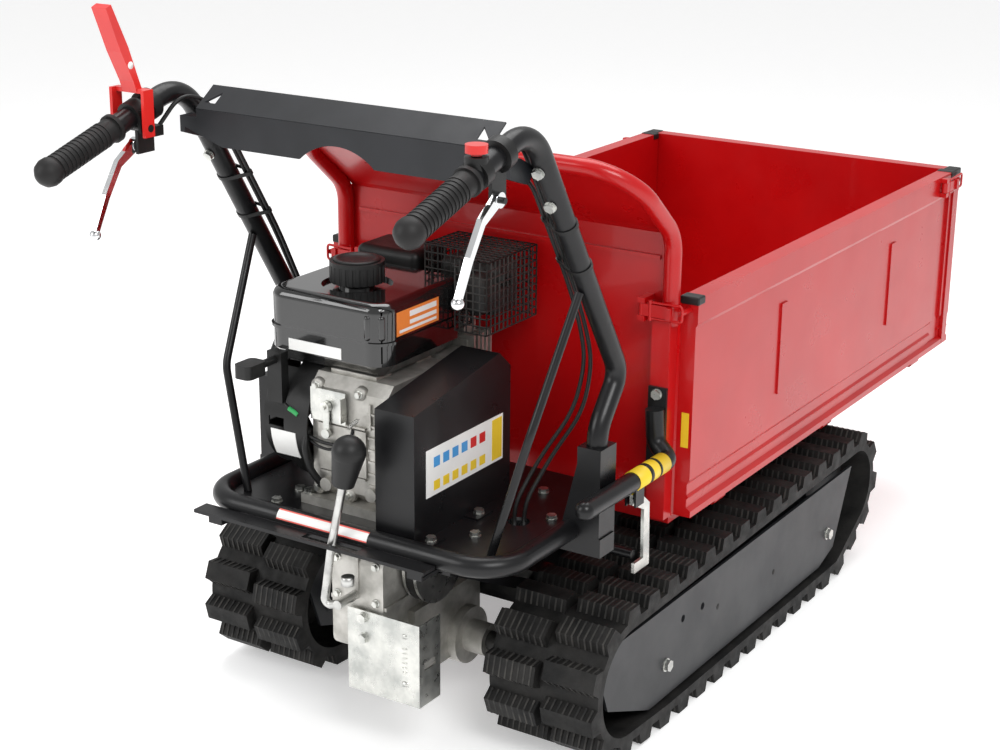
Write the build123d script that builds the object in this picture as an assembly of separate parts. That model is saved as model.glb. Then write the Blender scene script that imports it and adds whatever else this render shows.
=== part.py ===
"""Tracked power wheelbarrow: a petrol mini dumper that the operator walks behind.

Working frame: X points forward, Y to the operator's left, Z up, in millimetres.
The drawing datum is the rear face of the load box at ground level.  At export every
part is shifted along X, so that the origin lies under the middle of the machine.
"""
from build123d import *
import math
import os

# ---------------------------------------------------------------- driving dimensions
NOSE_X = 1090                    # front face of the load box
GRIP_TIP_X = -670.12             # rear tip of the hand grips
ORIGIN_X = (NOSE_X + GRIP_TIP_X) / 2

TRACK_OUT = 351                  # half width over the tracks
TRACK_W = 180                    # rubber track width
TRACK_IN = TRACK_OUT - TRACK_W
BELT_T = 14                      # carcass thickness of the rubber track
LUG_H = 18                       # lug height
LUG_PITCH = 60
SPROCKET = (-202, 121, 83)       # x, z and radius of the drive sprocket
IDLER = (610, 148, 70)           # x, z and radius of the raised front idler
ROLLER_XS = (-80, 230, 540)      # bottom rollers
ROLLER_Z, ROLLER_R = 60, 28
RUN_GAP = 0.4                    # clearance between a wheel and the inside of the track

BOX_W = 660                      # load box width over the side panels
BOX_Z = 298                      # underside of the panels
RIM_Z = 639                      # top rail of the panels
PANEL_T = 28                     # panel thickness
SKIN = 2                         # panel sheet
FLOOR_T = 3
LIP_Z = 730                      # height where the rear wall bends back over the engine
HOOP_R = 13                      # tube round the rear wall
HOOP_Y = 293
TIP_X, TIP_Z = 800, 262          # tipping pivot
PIN_R = 8
PANEL_HINGE_Z = 291
PANEL_HINGE_IN = 14              # hinge axis, inboard of the outer face

DECK_Z = 343                     # top of the engine deck
DECK_T = 5
BEAM_TOP = DECK_Z - DECK_T
RAIL_TUBE_R = 15                 # tube round the deck
RAIL_X, RAIL_Y = -411, 256

BAR_Y = 285                      # handlebar plane
BAR_R = 15
GRIP_R = 17
CRANK = (-255, 455)              # engine crankshaft, x and z
SHAFT = (-290, 275)              # gearbox input shaft, x and z
BELT_Y = -68                     # middle of the V-belt
PULLEY_R1, PULLEY_R2 = 30, 53    # groove radii of the two pulleys
VBELT_T = 8
FIT = 0.05                       # running clearance on radius


# ---------------------------------------------------------------- shape helpers
def block(x, y, z):
    """Box between three (low, high) pairs, in any order."""
    sizes = [abs(b - a) for a, b in (x, y, z)]
    mids = [(a + b) / 2 for a, b in (x, y, z)]
    return Pos(*mids) * Box(*sizes)


def rod(start, end, radius, bore=0):
    """Round bar or pipe between two points."""
    run = Vector(end) - Vector(start)
    plane = Plane(origin=start, z_dir=run)
    bar = Solid.make_cylinder(radius, run.length, plane)
    if bore:
        bar = bar - Solid.make_cylinder(bore, run.length, plane)
    return bar


def prism(points, run):
    """Flat outline, pushed along the vector run."""
    face = make_face(Polyline(*points, close=True))
    return extrude(face, amount=Vector(run).length, dir=Vector(run).normalized())


def side_plate(outline, y0, y1):
    """Plate in the X-Z plane between two Y values."""
    return prism([(x, y0, z) for x, z in outline], (0, y1 - y0, 0))


def bent_tube(points, radii, radius, bore=0):
    """Tube along straight runs joined by tangent arcs."""
    path = FilletPolyline(*points, radius=radii)
    start = Plane(origin=path @ 0, z_dir=path % 0)
    tube = sweep(start * Circle(radius), path=path)
    if bore:
        tube = tube - sweep(start * Circle(bore), path=path)
    return tube


def soft_radii(points):
    """Largest even radii that a free cable takes at its corners."""
    radii = []
    for a, b, c in zip(points, points[1:], points[2:]):
        first, second = Vector(b) - Vector(a), Vector(c) - Vector(b)
        half_turn = math.radians(first.get_angle(second)) / 2
        radii.append(0.45 * min(first.length, second.length) / math.tan(half_turn))
    return radii


def cable(points, radius):
    """Control cable along points chosen by hand."""
    return bent_tube(points, soft_radii(points), radius)


def hexagon_bolt(at, axis, size=8, grip=12):
    """Hex bolt: head and washer on the face at `at`, shank going in against `axis`."""
    out = Vector(axis).normalized()
    plane = Plane(origin=at, z_dir=out)
    washer = Solid.make_cylinder(size * 1.05, size * 0.2, plane)
    head = extrude(plane.offset(size * 0.2) * RegularPolygon(size * 0.95, 6), size * 0.65)
    shank = Solid.make_cylinder(size / 2, grip, Plane(origin=at, z_dir=-out))
    return washer + head + shank


def drill(part, bolts):
    """Clear holes for a list of (at, axis, size, grip) bolts."""
    for at, axis, size, grip in bolts:
        run = Vector(axis).normalized() * (grip + 2)
        part = part - rod(tuple(Vector(at) - run), tuple(Vector(at) + run * 0.2), size / 2 + FIT)
    return part


def mirrored(part):
    """The same piece on the other side of the machine."""
    return mirror(part, about=Plane.XZ)


def both(part):
    """A piece and its mirror image."""
    return [part, mirrored(part)]


def joined(parts):
    """Weld pieces into one solid."""
    first, *rest = parts
    return first.fuse(*rest) if rest else first


def loop_face(circles, grow=0):
    """Face inside a band stretched round circles given as x, z, radius."""
    edges = [Edge.make_circle(r + grow, Plane(origin=(x, z, 0))) for x, z, r in circles]
    return Rot(90, 0, 0) * make_hull(edges)


def loop_band(circles, inner, outer, y0, y1):
    """Endless band round circles, between two distances from their rims."""
    face = Pos(0, y1, 0) * (loop_face(circles, outer) - loop_face(circles, inner))
    return extrude(face, amount=y1 - y0, dir=(0, -1, 0))


# ---------------------------------------------------------------- undercarriage
TRACK_LOOP = [SPROCKET, IDLER] + [(x, ROLLER_Z, ROLLER_R) for x in (ROLLER_XS[0], ROLLER_XS[-1])]
LUG_STAGGER = 12
LUG_EMBED = 3
AXLE_R = 15
TRACK_BOLTS = [((-78, 341, 93), (0, 1, 0), 10, 4), ((518, 341, 94), (0, 1, 0), 10, 4)]


def rubber_track():
    """Endless rubber track with two staggered rows of tread lugs."""
    track = loop_band(TRACK_LOOP, 0, BELT_T, TRACK_IN, TRACK_OUT)
    rim = loop_face(TRACK_LOOP, BELT_T).faces()[0].outer_wire()
    count = round(rim.length / LUG_PITCH)
    lugs = []
    for row, (y0, y1) in enumerate(((TRACK_IN, TRACK_IN + 84), (TRACK_OUT - 84, TRACK_OUT))):
        for i in range(count):
            lugs.append(tread_lug(rim, (i + row * LUG_STAGGER / LUG_PITCH) / count, y0, y1))
    return track.fuse(*lugs) - block((-300, 700), (TRACK_IN, TRACK_OUT), (-5, 0))


def tread_lug(rim, share, y0, y1):
    """One tapered lug at a share of the way round the track."""
    at, along = rim.position_at(share), rim.tangent_at(share)
    out = along.cross(Vector(0, 1, 0))
    if (at - Vector((SPROCKET[0] + IDLER[0]) / 2, 0, SPROCKET[1])).dot(out) < 0:
        out = -out
    foot, crown = 20, 14
    corners = [at + along * a + out * h for a, h in
               ((-foot, -LUG_EMBED), (foot, -LUG_EMBED), (crown, LUG_H), (-crown, LUG_H))]
    return prism([(c.X, y0, c.Z) for c in corners], (0, y1 - y0, 0))


def track_frame():
    """Side plates, cross bolts' beam, roller brackets and idler fork of one track."""
    outer = side_plate([(-244, 188), (-276, 150), (-252, 92), (-127, 39), (491, 39),
                        (550, 58), (612, 190)], 336, 341)
    inner = side_plate([(-240, 190), (-262, 150), (-236, 80), (-127, 42), (491, 42),
                        (550, 62), (600, 186)], 184, 189)
    beam = block((-105, 535), (225, 295), (100, 166))
    spacers = [block((x - 20, x + 20), (189, 225), (110, 156)) for x in (100, 430)]
    spacers += [block((x - 20, x + 20), (295, 336), (110, 156)) for x in (-60, 500)]
    forks = [block((505, 640), (y, y + 8), (130, 166)) for y in (217, 295)]
    brackets = [block((x - 15, x + 15), (y, y + 8), (48, 132))
                for x in ROLLER_XS for y in (217, 295)]
    bearing = rod((SPROCKET[0], 178, SPROCKET[1]), (SPROCKET[0], 200, SPROCKET[1]), 28)
    frame = joined([outer, inner, beam, bearing] + spacers + forks + brackets)
    frame -= rod((SPROCKET[0], 170, SPROCKET[1]), (SPROCKET[0], 205, SPROCKET[1]), AXLE_R + FIT)
    for x, z in ((39, 143), (-26, 148)):
        frame -= rod((x, 330, z), (x, 350, z), 6)
    pins = [rod((x, 217, ROLLER_Z), (x, 303, ROLLER_Z), PIN_R) for x in ROLLER_XS]
    pins.append(rod((IDLER[0], 217, IDLER[1]), (IDLER[0], 303, IDLER[1]), PIN_R))
    return drill(joined([frame] + pins), TRACK_BOLTS)


def road_roller(x, z, radius):
    """Flanged steel wheel on a fixed pin, between the roller brackets."""
    wheel = rod((x, 226, z), (x, 294, z), radius - RUN_GAP)
    groove = rod((x, 252, z), (x, 268, z), radius + 1, radius * 0.78)
    hub = rod((x, 225.5, z), (x, 294.5, z), radius * 0.5)
    return (wheel - groove).fuse(hub) - rod((x, 220, z), (x, 300, z), PIN_R + FIT)


def drive_sprocket():
    """Toothed drive wheel with its hub and axle."""
    x, z, radius = SPROCKET
    teeth, root = 9, radius - 14
    wheel = rod((x, 248, z), (x, 272, z), root)
    for i in range(teeth):
        turn = Pos(x, 0, z) * Rot(0, 360 * i / teeth, 0)
        tooth = prism([(-13, 250, root - 6), (13, 250, root - 6),
                       (6, 250, radius - RUN_GAP - 0.6), (-6, 250, radius - RUN_GAP - 0.6)],
                      (0, 20, 0))
        wheel = wheel.fuse(turn * tooth)
    hub = rod((x, 232, z), (x, 288, z), 30)
    axle = rod((x, 92, z), (x, 300, z), AXLE_R)
    collar = rod((x, 150, z), (x, 166, z), 21)
    return joined([wheel, hub, axle, collar])


# ---------------------------------------------------------------- chassis
STRIKER = (-135, 285)
UP = (0, 0, 1)
DECK_BOLTS = [((x, y, DECK_Z), UP, 8, 14) for x, y in
              ((-318, -158), (-125, -152), (-373, 152), (-318, 152), (-125, 152),
               (-80, 0), (-206, 215), (-206, -215))]
COVER_BOLTS = [((x, -121, DECK_Z + 3), UP, 8, 14) for x in (-373, -252)]
ENGINE_BOLTS = [((x, y, 357), UP, 8, 26) for x in (-346, -168) for y in (-29, 113)]
GUARD_BOLTS = [((-397, -20, z), (-1, 0, 0), 8, 20) for z in (180, 212)]
SOCKET_X = -203


def main_frame():
    """Welded frame between the tracks, with engine beams and the tipping brackets."""
    rails = both(block((-150, 770), (95, 135), (165, 225)))
    cross = [block((x - 20, x + 20), (-184, 184), (125, 165)) for x in (100, 430)]
    cross += [block((x, x + 40), (-165, 165), (165, 225)) for x in (-150, 735)]
    posts = both(block((-130, -90), (100, 135), (225, BEAM_TOP)))
    beams = both(block((-391, -60), (140, 165), (310, BEAM_TOP)))
    ties = [block((-100, -60), (-165, 165), (318, BEAM_TOP))]
    struts = both(side_plate([(-394, 312), (-356, 312), (-108, 190), (-148, 190)], 143, 151))
    wing = block((-225, -185), (-306, 306), (310, BEAM_TOP))
    lugs = both(side_plate([(740, 165), (830, 222), (830, 270), (816, 284), (786, 284), (740, 226)],
                           152, 162))
    sockets = both(handlebar_socket())
    gussets = both(prism([(-225, 240, BEAM_TOP), (-225, 268, BEAM_TOP), (-225, 268, 452)],
                         (50, 0, 0)))
    catch = [rod((STRIKER[0], -310, STRIKER[1]), (STRIKER[0], -160, STRIKER[1]), 7),
             block((-145, -125), (-165, -150), (280, 312))]
    stop = both(block((60, 100), (100, 130), (225, 262)))
    frame = joined(rails + cross + posts + beams + ties + struts + [wing] + lugs
                   + sockets + gussets + catch + stop)
    frame -= rod((TIP_X, -170, TIP_Z), (TIP_X, 170, TIP_Z), PIN_R)
    frame -= block((-240, -205), (-92, -44), (300, 345))
    for y in (-RAIL_Y, RAIL_Y):
        frame -= rod((-240, y, DECK_Z), (-170, y, DECK_Z), RAIL_TUBE_R)
    return drill(frame, DECK_BOLTS)


def handlebar_socket():
    """Square socket that takes the foot of a handlebar."""
    socket = block((SOCKET_X - 22, SOCKET_X + 22), (266, 303.5), (320, 470))
    return socket - rod((SOCKET_X, BAR_Y, 345), (SOCKET_X, BAR_Y, 480), BAR_R)


def tip_pin():
    """Pin that the load box tips on, with its two heads."""
    pin = rod((TIP_X, -162, TIP_Z), (TIP_X, 162, TIP_Z), PIN_R)
    heads = [rod((TIP_X, y, TIP_Z), (TIP_X, y + 5, TIP_Z), 13) for y in (-167, 162)]
    return joined([pin] + heads)


def deck_plate():
    """Engine deck with a slot for the belt and a hole for the cables."""
    deck = block((-394, -45), (-239, 239), (BEAM_TOP, DECK_Z))
    deck = fillet(deck.edges().filter_by(Axis.Z).group_by(Axis.X)[0], 45)
    skirt = block((-394, -391), (-150, 150), (318, BEAM_TOP))
    slot = block((-356, -196), (-92, -44), (330, 350))
    ports = [rod((x, y, 330), (x, y, 350), 16) for x, y in ((-240, -181), (-129, 210))]
    deck = deck.fuse(skirt) - slot - ports[0] - ports[1]
    return drill(deck, DECK_BOLTS + COVER_BOLTS + ENGINE_BOLTS)


def deck_rail():
    """Tube bent round the rear of the deck, with welded straps."""
    corner, front = 62, -220
    path = [(front, -RAIL_Y, DECK_Z), (RAIL_X, -RAIL_Y, DECK_Z),
            (RAIL_X, RAIL_Y, DECK_Z), (front, RAIL_Y, DECK_Z)]
    tube = bent_tube(path, [corner, corner], RAIL_TUBE_R, RAIL_TUBE_R - 2.5)
    tabs = [block((RAIL_X + RAIL_TUBE_R - 1.5, -394), (y - 15, y + 15), (BEAM_TOP + 1, DECK_Z))
            for y in (-120, 120)]
    return joined([tube] + tabs)


GATE_X = -441


def shift_gate():
    """Slotted flat bar behind the deck that guides the gear lever."""
    bar = block((GATE_X - 14, GATE_X + 14), (-165, 240), (334, 339))
    slot = block((GATE_X - 7.5, GATE_X + 7.5), (-48, 48), (330, 345))
    tabs = [block((GATE_X - 14, -394), (y - 12, y + 12), (325, 330)) for y in (-150, 200)]
    legs = [block((GATE_X - 14, GATE_X - 10), (y - 12, y + 12), (325, 334)) for y in (-150, 200)]
    return joined([bar - slot] + tabs + legs)


# ---------------------------------------------------------------- handlebars and controls
BAR_POINTS = [(-640, BAR_Y, 868), (-391, BAR_Y, 947), (-148, BAR_Y, 562),
              (SOCKET_X, BAR_Y, 492), (SOCKET_X, BAR_Y, 345)]
BAR_RADII = [62, 34, 60]
BAR_BACK = (-0.8457, 0, -0.5337)    # rearward normal of the straight part
BAR_DOWN = Vector(0.5337, 0, -0.8457)
BAR_BOLTS = [(tuple(Vector(BAR_POINTS[1]) + BAR_DOWN * down + Vector(BAR_BACK) * (BAR_R + 0.1)),
              BAR_BACK, 8, 34) for down in (64, 122)]


GRIP_END = 275                   # centre of the grip's domed end, behind the bend


def handlebar():
    """Bent steel tube from the chassis socket to the hand grip."""
    return drill(bent_tube(BAR_POINTS, BAR_RADII, BAR_R, BAR_R - 2.5), BAR_BOLTS)


def along_grip(distance, drop=0):
    """Point at a distance behind the bend along the grip, and below its axis."""
    start, end = Vector(BAR_POINTS[1]), Vector(BAR_POINTS[0])
    run = (end - start).normalized()
    down = Vector(-run.Z, 0, run.X) * (1 if run.X < 0 else -1)
    return start + run * distance + down * drop


def hand_grip():
    """Rubber grip with a domed end and a collar."""
    start, end = along_grip(143), along_grip(GRIP_END)
    run = (end - start).normalized()
    grip = rod(tuple(start), tuple(end), GRIP_R)
    collar = rod(tuple(start), tuple(start + run * 6), GRIP_R + 3)
    dome = Pos(*end) * Sphere(GRIP_R)
    bore = rod(tuple(start - run), tuple(Vector(BAR_POINTS[0])), BAR_R)
    return joined([grip, collar, dome]) - bore


def control_panel():
    """Folded sheet between the handlebars: sloping top, and an apron with an arched edge."""
    half, reach = 240, 262
    top = side_plate([(-414, 918), (-376, 945), (-375, 943), (-413, 916)], -half, half)
    apron = block((-414, -412), (-reach, reach), (868, 917))
    apron -= rod((-420, 0, 800), (-400, 0, 800), 92)
    for y in (1, -1):
        apron -= prism([(-420, y * 170, 860), (-420, y * (reach + 1), 890),
                        (-420, y * (reach + 1), 860)], (20, 0, 0))
        apron -= block((-420, -400), (y * half, y * (reach + 1)), (905, 925))
    ears = both(prism([(-414, 262, 905), (-390, 262, 905), (-349, 262, 885), (-372, 262, 868),
                       (-414, 262, 882)], (0, 8, 0)))
    panel = joined([top, apron] + ears)
    for y in (BAR_Y, -BAR_Y):
        panel -= bar_envelope(y)
    for y in (1, -1):
        panel -= prism([(-404, y * 214, 900), (-386, y * 214, 900), (-404, y * 234, 900)],
                       (0, 0, 60))
    return panel


def bar_envelope(y):
    """Solid envelope of the handlebar on one side, to cope neighbours against."""
    points = [(x, y, z) for x, _, z in BAR_POINTS]
    return bent_tube(points, BAR_RADII, BAR_R)


def brace_rod():
    """Steel rod from the deck to the handlebar, with a flattened head."""
    points = [(-255, 281, 701), (-345, 264, 525), (-364, 214, DECK_Z)]
    bar = bent_tube(points, [60], 6)
    return bar - bar_envelope(BAR_Y) - block((-390, -340), (190, 240), (320, DECK_Z))


LEVER_PIVOT = (-478, 872)        # steering lever, x and z
CLUTCH_PIVOT = (-490, 900)       # drive lever, x and z
GRIP_BORE = (20, 262)            # stretch of the grip axis kept clear for the tube


def grip_tube_space():
    """Envelope of the straight rear part of the handlebar."""
    return rod(tuple(along_grip(GRIP_BORE[0])), tuple(along_grip(GRIP_BORE[1])), BAR_R)


def lever_perch():
    """Clamp on the handlebar that carries a steering lever and its cable stop."""
    x, z = LEVER_PIVOT
    clamp = rod(tuple(along_grip(66)), tuple(along_grip(82)), BAR_R + 7)
    arm = block((x - 6, x + 26), (BAR_Y - 1, BAR_Y + 4), (z - 12, z + 40))
    stop = block((x + 8, x + 26), (266, BAR_Y), (z + 12, z + 26))
    pin = rod((x, BAR_Y - 1, z), (x, BAR_Y + 20, z), 4)
    return joined([clamp, arm, stop, pin]) - grip_tube_space()


def steering_lever():
    """Chrome finger lever that swings up to the grip."""
    x, z = LEVER_PIVOT
    y0, y1 = BAR_Y + 5, BAR_Y + 13
    arm = side_plate([(x - 4, z + 9), (x - 40, z - 16), (x - 67, z - 58), (x - 91, z - 106),
                      (x - 84, z - 109), (x - 60, z - 64), (x - 34, z - 25), (x - 4, z - 9)],
                     y0, y1)
    tip = Pos(x - 87, (y0 + y1) / 2, z - 110) * Sphere(8)
    hub = rod((x, y0 - 0.5, z), (x, y1 + 1, z), 10)
    return joined([arm, tip, hub]) - rod((x, y0 - 10, z), (x, y1 + 10, z), 4 + FIT)


def clutch_bracket():
    """Collar with the two stub pins that the drive lever turns on."""
    x, z = CLUTCH_PIVOT
    collar = rod(tuple(along_grip(93)), tuple(along_grip(112)), BAR_R + 5)
    cheeks = [block((x - 7, x + 7), (y, y + 5), (z - 7, z + 24)) for y in (265, 300)]
    pin = rod((x, BAR_Y - 32, z), (x, BAR_Y + 32, z), 5)
    return joined([collar, pin] + cheeks) - grip_tube_space()


def clutch_lever():
    """Tall red drive lever whose fork straddles the left handlebar."""
    x, z = CLUTCH_PIVOT
    blade = side_plate([(x + 8, z + 46), (x + 1, z + 64), (x - 16, z + 110), (x - 44, z + 168),
                        (x - 54, z + 164), (x - 30, z + 104), (x - 9, z + 62), (x - 4, z + 46)],
                       BAR_Y - 13, BAR_Y + 13)
    web = block((x - 4, x + 8), (BAR_Y - 31, BAR_Y + 31), (z + 46, z + 52))
    cheeks = [block((x - 11, x + 8), (y, y + 5), (z - 12, z + 52)) for y in (254, 311)]
    return joined([blade, web] + cheeks) - rod((x, 240, z), (x, 330, z), 5 + FIT)


STOP_AT = (-512, -BAR_Y, 936)    # red stop button, on the right handlebar


def stop_housing():
    """Clamp and round housing of the stop button."""
    clamp = rod(tuple(along_grip(116)), tuple(along_grip(132)), BAR_R + 5)
    x, _, z = STOP_AT
    body = rod((x, BAR_Y, z - 26), (x, BAR_Y, z - 6), 15)
    body = joined([clamp, body]) - grip_tube_space()
    return mirrored(body - rod((x, BAR_Y, z - 14), (x, BAR_Y, z), 7 + FIT))


def stop_button():
    """Mushroom push button."""
    x, y, z = STOP_AT
    return rod((x, y, z - 5), (x, y, z), 7).fuse(rod((x, y, z - 1.5), (x, y, z + 9), 14))


# ---------------------------------------------------------------- cables
CABLE_R = 3
CABLE_TOP = [(-449, 276, 896), (-424, 259, 936), (-370, 257, 922), (-330, 257, 862),
             (-232, 257, 707), (-196, 257, 640), (-165, 252, 575)]
WIRE_TOP = [(-409, 222, 897), (-378, 242, 892), (-330, 249, 862), (-232, 249, 707),
            (-197, 249, 640), (-168, 243, 575)]
TO_ENGINE = ([(-150, 245, 500), (-128, 225, 420), (-125, 216, 365), (-125, 216, 333)],
             [(-160, 236, 500), (-140, 214, 420), (-134, 204, 365), (-134, 204, 333)])
TO_GEARBOX = ([(-165, 240, 500), (-190, 202, 430), (-232, 186, 370), (-235, 186, 325)],
              [(-174, 229, 500), (-200, 190, 430), (-243, 176, 370), (-245, 176, 325)])
TIE_AT = (-300, -260)            # x of the cable ties on each handlebar


def control_cables():
    """Two cables down the inside of each handlebar."""
    tops = (CABLE_TOP, WIRE_TOP)
    left = [cable(top + end, CABLE_R) for top, end in zip(tops, TO_ENGINE)]
    right = [mirrored(cable(top + end, CABLE_R)) for top, end in zip(tops, TO_GEARBOX)]
    return left + right


def cable_ties():
    """Ties on both handlebars."""
    return [tie for x in TIE_AT for tie in both(cable_tie(x))]


def cable_tie(x):
    """Band that holds the two cables against the handlebar."""
    low, high = Vector(BAR_POINTS[2]), Vector(BAR_POINTS[1])
    run = (high - low).normalized()
    at = low + run * ((x - low.X) / run.X)
    plane = Plane(origin=at - run * 3, x_dir=(0, 1, 0), z_dir=run)
    offset = plane.to_local_coords(Vector(CABLE_TOP[3]))
    spots = [(0, 0, BAR_R)] + [(y - BAR_Y, offset.Y, CABLE_R) for y in (257, 249)]
    outer, inner = [make_hull([Edge.make_circle(r + grow, Plane(origin=(a, b, 0)))
                               for a, b, r in spots]) for grow in (1.6, 0.05)]
    return extrude(plane * (outer - inner), amount=6)


# ---------------------------------------------------------------- engine
CRANK_R = 12.5
IDLER_PIVOT = (-190, 425)        # belt tensioner, x and z
IDLER_ROLLER = (-194.5, 365)
CHOKE_PIVOT = (-100, 520)        # x and z
THROTTLE_PIVOT = (75, 498)       # y and z
CAP_AT = (-250, 92)              # fuel cap, x and y
TANK_LOW, TANK_SEAM, TANK_TOP = 545, 598, 655


def at_y(spot, y):
    """Point from an (x, z) pair and a y value."""
    return (spot[0], y, spot[1])


def engine_block():
    """Crankcase on its foot, with the crankshaft bore and the tensioner stud."""
    foot = block((-354, -158), (-38, 122), (DECK_Z, 357)) - block((-330, -180), (108, 125), (340, 360))
    case = chamfer(block((-340, -170), (-25, 108), (355, 540)).edges().filter_by(Axis.Y), 16)
    bearing = rod(at_y(CRANK, -32), at_y(CRANK, -25), 34)
    pads = [block((x - 18, x + 18), (10, 90), (536, TANK_LOW)) for x in (-300, -200)]
    plugs = [rod((-350, y, 378), (-338, y, 378), 10) for y in (0, 80)]
    cover = block((-345, -338), (10, 95), (400, 470))
    stud = rod(at_y(IDLER_PIVOT, -58), at_y(IDLER_PIVOT, -25), 5)
    body = joined([foot, case, bearing, cover, stud] + pads + plugs)
    body -= rod(at_y(CRANK, -35), at_y(CRANK, -3), CRANK_R + FIT)
    return drill(body, ENGINE_BOLTS)


def cylinder_head():
    """Finned cylinder with its head cover."""
    core = block((-170, -60), (-10, 90), (430, 540)).fuse(block((-118, -60), (-10, 90), (530, 552)))
    fins = [block((x, x + 4), (-22, 100), (422, 540 if x < -120 else 560))
            for x in range(-160, -64, 11)]
    port = block((-113, -82), (-2, 32), (552, 592))
    cap = block((-60, -42), (5, 75), (445, 540))
    return joined([core, port, cap] + fins)


def recoil_housing():
    """Flywheel housing and slotted starter cover with the rope guide."""
    def disc(y0, y1, radius):
        return rod(at_y(CRANK, y0), at_y(CRANK, y1), radius)
    shell = disc(108, 150, 100).fuse(disc(150, 195, 90))
    shell = shell - disc(107, 147, 97) - disc(146, 192, 87)
    slot = block((28, 82), (191, 197), (-4, 4))
    for i in range(12):
        spoke = Pos(CRANK[0], 0, CRANK[1]) * Rot(0, 30 * i, 0)
        shell -= spoke * slot
        shell -= spoke * block((84, 92), (156, 186), (-7, 7))
    guide = block((-352, -336), (154, 180), (488, 564))
    ring = disc(106, 108, 97) - disc(105, 109, 60) - block((-345, -165), (100, 110), (340, 540))
    foot = block((-345, -335), (100, 108), (470, 480))
    return shell.fuse(guide) - rod((-360, 167, 552), (-330, 167, 552), 4) - foot - ring


def recoil_grip():
    """Starter handle: a short neck and a cross head."""
    neck = rod((-386, 167, 552), (-352.5, 167, 552), 6)
    head = block((-426, -384), (152, 182), (542, 562))
    return fillet(head.edges().filter_by(Axis.Z), 9).fuse(neck)


def fuel_tank():
    """Two pressed halves with a seam flange, and a filler neck in a shallow well."""
    body = fillet(block((-335, -125), (-15, 195), (TANK_LOW, TANK_TOP)).edges().filter_by(Axis.Z), 30)
    body = chamfer(body.edges().group_by(Axis.Z)[0], 20)
    body = fillet(body.edges().group_by(Axis.Z)[-1], 14)
    flange = block((-338, -122), (-18, 198), (TANK_SEAM - 2, TANK_SEAM + 2))
    flange = fillet(flange.edges().filter_by(Axis.Z), 32)
    inside = block((-327, -133), (-7, 187), (570, 645))
    x, y = CAP_AT
    neck = rod((x, y, 640), (x, y, 683), 26)
    tank = body.fuse(flange) - rod((x, y, 650), (x, y, 656), 52)
    tank = tank.fuse(neck) - inside - rod((x, y, 630), (x, y, 690), 20)
    return tank - rod(at_y(CRANK, 104), at_y(CRANK, 200), 101)


def fuel_cap():
    """Ribbed cap over the filler neck."""
    x, y = CAP_AT
    cap = rod((x, y, 659), (x, y, 690), 40)
    for i in range(24):
        cap -= Pos(x, y, 0) * Rot(0, 0, 15 * i) * rod((41.5, 0, 655), (41.5, 0, 684), 3)
    return cap - rod((x, y, 655), (x, y, 684), 26 + FIT)


def air_cleaner():
    """Plastic filter box over the carburettor."""
    box = fillet(block((-120, -34), (80, 194), (562, 672)).edges(), 12)
    lid = block((-123, -31), (77, 197), (640, 644))
    lid = fillet(lid.edges().filter_by(Axis.Z), 14)
    inside = block((-112, -42), (88, 186), (568, 664))
    intake = block((-125, -100), (120, 160), (575, 590))
    return box.fuse(lid) - inside - intake


def carburettor():
    """Carburettor body between the cylinder and the filter box."""
    body = block((-112, -68), (100, 148), (484, 545))
    throat = block((-108, -72), (104, 140), (545, 562))
    bowl = rod((-90, 124, 462), (-90, 124, 484), 18)
    pin = rod(at_y(CHOKE_PIVOT, 146), at_y(CHOKE_PIVOT, 162), 3)
    return joined([body, throat, bowl, pin])


def small_lever(hub_radius, reach, width, bore):
    """Flat control lever along -X from a pivot at the origin, turning about Y."""
    arm = block((-reach, 0), (0, 3), (-width / 2, width / 2))
    hub = rod((0, 0, 0), (0, 6, 0), hub_radius)
    knob = rod((-reach, 0, 0), (-reach, 5, 0), width * 0.75)
    return joined([arm, hub, knob]) - rod((0, -5, 0), (0, 10, 0), bore)


def choke_lever():
    """Choke lever on the carburettor."""
    return Pos(*at_y(CHOKE_PIVOT, 150)) * small_lever(8, 32, 9, 3 + FIT)


def throttle_bracket():
    """Zinc speed control plate on the back of the crankcase."""
    y, z = THROTTLE_PIVOT
    plate = block((-347, -344), (44, 106), (474, 522))
    feet = [rod((-344, yy, zz), (-340, yy, zz), 5) for yy, zz in ((52, 514), (98, 482))]
    fold = block((-358, -344), (44, 47), (480, 516))
    pin = rod((-360, y, z), (-344, y, z), 3)
    return joined([plate, fold, pin] + feet)


def throttle_lever():
    """Speed control lever, pointing down."""
    y, z = THROTTLE_PIVOT
    arm = block((-352, -349), (y - 5, y + 5), (z - 40, z))
    hub = rod((-356, y, z), (-348, y, z), 8)
    knob = rod((-355, y, z - 40), (-349, y, z - 40), 7)
    return joined([arm, hub, knob]) - rod((-365, y, z), (-340, y, z), 3 + FIT)


def muffler():
    """Silencer box with its outlet."""
    box = fillet(block((-114, -42), (-56, 46), (592, 672)).edges(), 14)
    box = box.fuse(fillet(block((-150, -90), (-56, -24), (600, 664)).edges(), 14))
    outlet = rod((-100, -70, 650), (-100, -50, 650), 10, 7)
    return box.fuse(outlet)


def muffler_guard():
    """Wire cage round the silencer."""
    cage = block((-119, -30), (-76, 64), (580, 690)).fuse(block((-166, -110), (-76, -21), (580, 690)))
    cage -= block((-116, -33), (-73, 61), (570, 687))
    cage -= block((-163, -100), (-73, -24), (570, 687))
    for x in range(-160, -36, 10):
        cage -= block((x, x + 7), (-80, 70), (586, 684))
        cage -= block((x, x + 7), (-70, 58), (680, 695))
    for y in range(-70, 58, 10):
        cage -= block((-170, -25), (y, y + 7), (586, 684))
    leg = block((-106, -94), (32, 64), (570, 580))
    return cage.fuse(leg.fuse(block((-106, -94), (32, 36), (562, 574))))


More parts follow.
